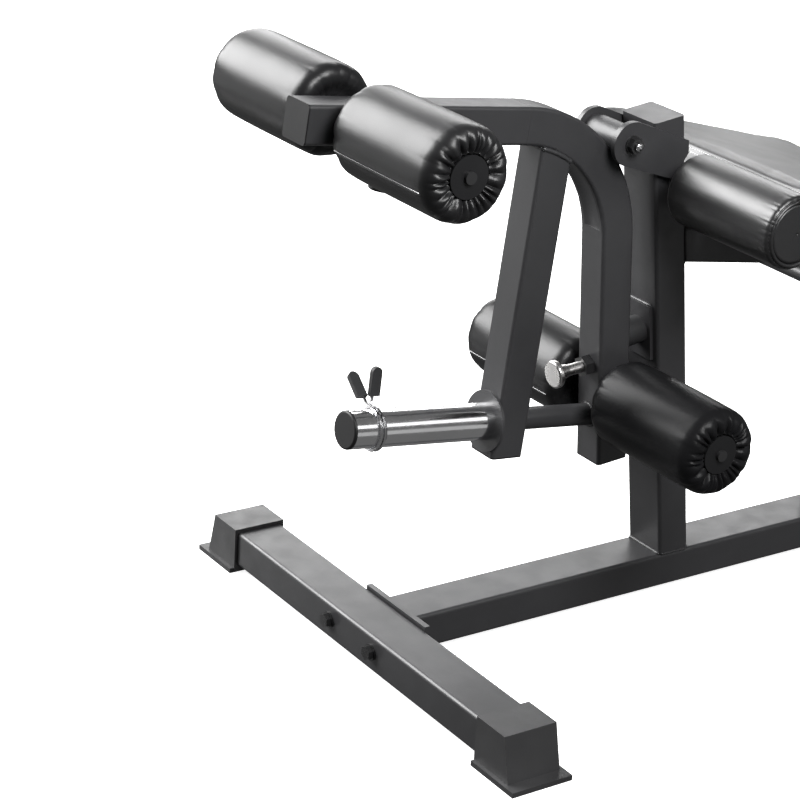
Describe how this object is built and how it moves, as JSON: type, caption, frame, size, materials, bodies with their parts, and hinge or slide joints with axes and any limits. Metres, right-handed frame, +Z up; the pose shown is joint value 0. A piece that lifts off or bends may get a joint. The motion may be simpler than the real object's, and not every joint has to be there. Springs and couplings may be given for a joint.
{
  "type": "leg extension and hamstring machine",
  "caption": "Seated leg extension and hamstring curl machine: floor frame, plate-loaded swinging lever with shin rollers, knee roller, seat and reclining backrest.",
  "frame": {"origin": "centre of the footprint on the floor, under the machine", "axes": "+X to the rear, where the backrest is; +Y to the side without the knee roller; +Z up"},
  "size_m": [1.4004, 0.76, 1.1709],
  "materials": {
    "frame_paint": "satin black powder coat",
    "lever_paint": "satin black powder coat",
    "foot_plastic": "matt moulded foot cap",
    "bumper_rubber": "matt rubber",
    "black_steel": "black oxide fasteners",
    "chrome_sleeve": "polished",
    "chrome_pin": "polished",
    "spring_wire": "polished wire",
    "grip_rubber": "soft grip",
    "plug_plastic": "moulded plug",
    "hub_plastic": "moulded core and end disc",
    "shin_vinyl": "glossy black vinyl over foam",
    "knee_vinyl": "glossy black vinyl over foam",
    "seat_vinyl": "black vinyl over foam",
    "back_vinyl": "black vinyl over foam",
    "board_wood": "plain plywood",
    "zinc": "zinc plated",
    "bush_nylon": "nylon",
    "carriage_steel": "black"
  },
  "bodies": {
    "frame": {"front_stabiliser": "frame_paint", "rear_stabiliser": "frame_paint", "front_feet": "foot_plastic", "rear_feet": "foot_plastic", "floor_beam": "frame_paint", "mounting_flanges": "frame_paint", "frame_bolts": "black_steel", "upright": "frame_paint", "upright_cap": "frame_paint", "pivot_plate_near": "frame_paint", "pivot_plate_far": "frame_paint", "pivot_bolt": "black_steel", "stop_plate": "frame_paint", "stop_bumper": "bumper_rubber", "bench_beam": "frame_paint", "bench_plug": "plug_plastic", "rear_post": "frame_paint", "seat_brackets": "frame_paint", "seat_board": "board_wood", "seat_pad": "seat_vinyl", "seat_screws": "zinc", "knee_axle": "frame_paint", "handle_bar": "frame_paint", "handle_grips": "grip_rubber", "sector_plate": "frame_paint", "hinge_plate": "frame_paint", "hinge_bolt": "black_steel"},
    "knee_roller": {"knee_hub": "hub_plastic", "knee_pad": "knee_vinyl"},
    "lever": {"lever_tube": "lever_paint", "pivot_sleeve": "lever_paint", "pivot_bushes": "bush_nylon", "brace": "lever_paint", "cross_bar": "lever_paint", "sleeve_flange": "lever_paint", "weight_sleeve": "chrome_sleeve", "sleeve_cap": "plug_plastic", "lever_plugs": "plug_plastic", "pin_barrels": "black_steel"},
    "upper_slider": {"upper_carriage": "carriage_steel", "upper_axle": "black_steel"},
    "lower_slider": {"lower_carriage": "carriage_steel", "lower_axle": "black_steel"},
    "upper_roll_near": {"upper_hub_near": "hub_plastic", "upper_roller_near": "shin_vinyl"},
    "upper_roll_far": {"upper_hub_far": "hub_plastic", "upper_roller_far": "shin_vinyl"},
    "lower_roll_near": {"lower_hub_near": "hub_plastic", "lower_roller_near": "shin_vinyl"},
    "lower_roll_far": {"lower_hub_far": "hub_plastic", "lower_roller_far": "shin_vinyl"},
    "upper_pull_pin": {"upper_pin": "chrome_pin"},
    "lower_pull_pin": {"lower_pin": "chrome_pin"},
    "collar": {"collar_spring": "spring_wire", "collar_grips": "grip_rubber"},
    "backrest": {"back_tube": "frame_paint", "back_plug": "plug_plastic", "back_board": "board_wood", "back_pad": "back_vinyl"},
    "back_pull_pin": {"back_pin": "chrome_pin"}
  },
  "joints": [
    {"name": "lever_pivot", "type": "hinge", "parent": "frame", "child": "lever", "pos_m": [-0.21737, 0, 0.6734], "axis": [0, 1, 0], "range_deg": [0, 90]},
    {"name": "upper_roller_slide", "type": "slide", "parent": "lever", "child": "upper_slider", "axis": [0.9936, 0, -0.1132], "range_m": [-0.025, 0.025]},
    {"name": "lower_roller_slide", "type": "slide", "parent": "lever", "child": "lower_slider", "axis": [-0.0828, 0, 0.9966], "range_m": [-0.025, 0.025]},
    {"name": "upper_pin_pull", "type": "slide", "parent": "lever", "child": "upper_pull_pin", "axis": [-0.1132, 0, -0.9936], "range_m": [0, 0.014], "stiffness_N_per_m": 900, "springref_m": -0.006},
    {"name": "lower_pin_pull", "type": "slide", "parent": "lever", "child": "lower_pull_pin", "axis": [-0.9966, 0, -0.0828], "range_m": [0, 0.014], "stiffness_N_per_m": 900, "springref_m": -0.006},
    {"name": "upper_near_spin", "type": "hinge", "parent": "upper_slider", "child": "upper_roll_near", "pos_m": [-0.61791, 0, 0.73715], "axis": [0, 1, 0], "continuous": true},
    {"name": "upper_far_spin", "type": "hinge", "parent": "upper_slider", "child": "upper_roll_far", "pos_m": [-0.61791, 0, 0.73715], "axis": [0, 1, 0], "continuous": true},
    {"name": "lower_near_spin", "type": "hinge", "parent": "lower_slider", "child": "lower_roll_near", "pos_m": [-0.19121, 0, 0.3159], "axis": [0, 1, 0], "continuous": true},
    {"name": "lower_far_spin", "type": "hinge", "parent": "lower_slider", "child": "lower_roll_far", "pos_m": [-0.19121, 0, 0.3159], "axis": [0, 1, 0], "continuous": true},
    {"name": "knee_spin", "type": "hinge", "parent": "frame", "child": "knee_roller", "pos_m": [-0.13177, 0, 0.612], "axis": [0, 1, 0], "continuous": true},
    {"name": "collar_slide", "type": "slide", "parent": "lever", "child": "collar", "axis": [0.9921, 0, -0.1253], "range_m": [-0.03, 0.14]},
    {"name": "back_hinge", "type": "hinge", "parent": "frame", "child": "backrest", "pos_m": [0.31738, 0, 0.50501], "axis": [0, 1, 0], "range_deg": [0, 75]},
    {"name": "back_pin_pull", "type": "slide", "parent": "backrest", "child": "back_pull_pin", "axis": [0, 1, 0], "range_m": [0, 0.022], "stiffness_N_per_m": 700, "springref_m": -0.006}
  ]
}
